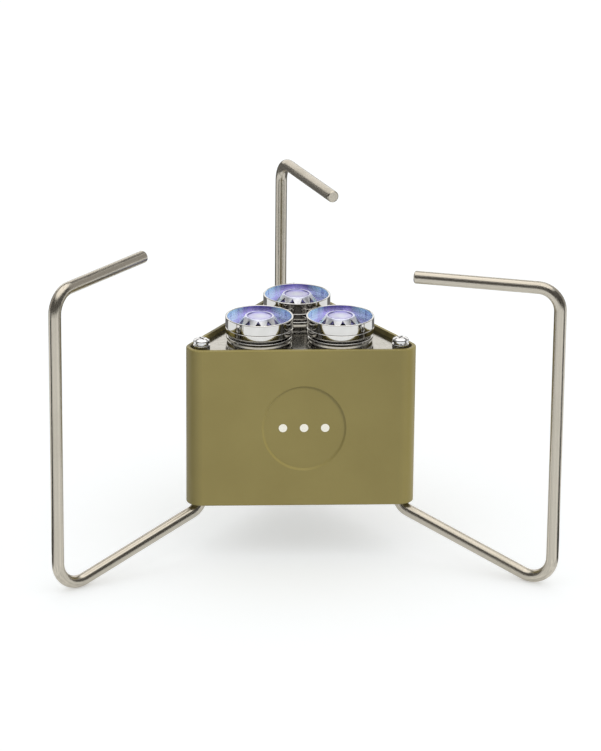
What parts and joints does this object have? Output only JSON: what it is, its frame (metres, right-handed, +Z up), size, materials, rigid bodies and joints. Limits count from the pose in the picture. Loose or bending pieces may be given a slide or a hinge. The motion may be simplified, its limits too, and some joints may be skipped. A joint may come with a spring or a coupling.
{
  "type": "propane burner stand",
  "caption": "Portable gas camping stove: painted triangular casing with burner cups on its deck, and wire legs that swing out of the corners to stand on and to carry a pan.",
  "frame": {"origin": "on the casing's vertical axis, at the level that the feet stand on", "axes": "+Z up, -Y towards the front face with the round panel, +X to the right of someone facing it; the back corner is on +Y"},
  "size_m": [0.2014, 0.1876, 0.1271],
  "materials": {
    "olive_paint": "satin olive-khaki paint",
    "stainless_plate": "polished stainless sheet",
    "stainless_wire": "drawn stainless wire, satin",
    "polished_steel": "mirror-polished stainless",
    "tinted_steel": "polished stainless with a blue and violet heat tint",
    "zinc_steel": "bright zinc-plated steel",
    "bare_steel": "turned steel",
    "cast_alloy": "cast and machined aluminium",
    "brass": "turned brass",
    "rubber": "black rubber"
  },
  "bodies": {
    "stove_body": {"body_shell": "olive_paint", "deck_plate": "stainless_plate", "bottom_plate": "stainless_plate", "bottom_plate_screws": "zinc_steel", "manifold_screws": "zinc_steel", "gas_manifold": "cast_alloy", "manifold_plugs": "brass", "inlet_fitting": "brass", "inlet_seal": "rubber", "inlet_locknut": "brass", "pivot_sleeve_left": "bare_steel", "burner_base_left": "polished_steel", "burner_stem_left": "polished_steel", "burner_cup_left": "polished_steel", "burner_cap_left": "tinted_steel", "burner_locknut_left": "bare_steel", "mixing_tube_left": "bare_steel", "gas_jet_left": "brass", "pivot_sleeve_right": "bare_steel", "burner_base_right": "polished_steel", "burner_stem_right": "polished_steel", "burner_cup_right": "polished_steel", "burner_cap_right": "tinted_steel", "burner_locknut_right": "bare_steel", "mixing_tube_right": "bare_steel", "gas_jet_right": "brass", "pivot_sleeve_back": "bare_steel", "burner_base_back": "polished_steel", "burner_stem_back": "polished_steel", "burner_cup_back": "polished_steel", "burner_cap_back": "tinted_steel", "burner_locknut_back": "bare_steel", "mixing_tube_back": "bare_steel", "gas_jet_back": "brass"},
    "left_leg": {"leg_wire_left": "stainless_wire", "flat_washer_left": "zinc_steel", "spring_washer_left": "zinc_steel", "pivot_screw_left": "zinc_steel"},
    "right_leg": {"leg_wire_right": "stainless_wire", "flat_washer_right": "zinc_steel", "spring_washer_right": "zinc_steel", "pivot_screw_right": "zinc_steel"},
    "back_leg": {"leg_wire_back": "stainless_wire", "flat_washer_back": "zinc_steel", "spring_washer_back": "zinc_steel", "pivot_screw_back": "zinc_steel"}
  },
  "joints": [
    {"name": "left_leg_swing", "type": "hinge", "parent": "stove_body", "child": "left_leg", "pos_m": [-0.03984, -0.023, 0.056], "axis": [0, 0, 1], "range_deg": [-148.2, 5.8]},
    {"name": "right_leg_swing", "type": "hinge", "parent": "stove_body", "child": "right_leg", "pos_m": [0.03984, -0.023, 0.056], "axis": [0, 0, 1], "range_deg": [-137.9, 16.1]},
    {"name": "back_leg_swing", "type": "hinge", "parent": "stove_body", "child": "back_leg", "pos_m": [0, 0.046, 0.056], "axis": [0, 0, 1], "range_deg": [-144.1, 9.9]}
  ]
}
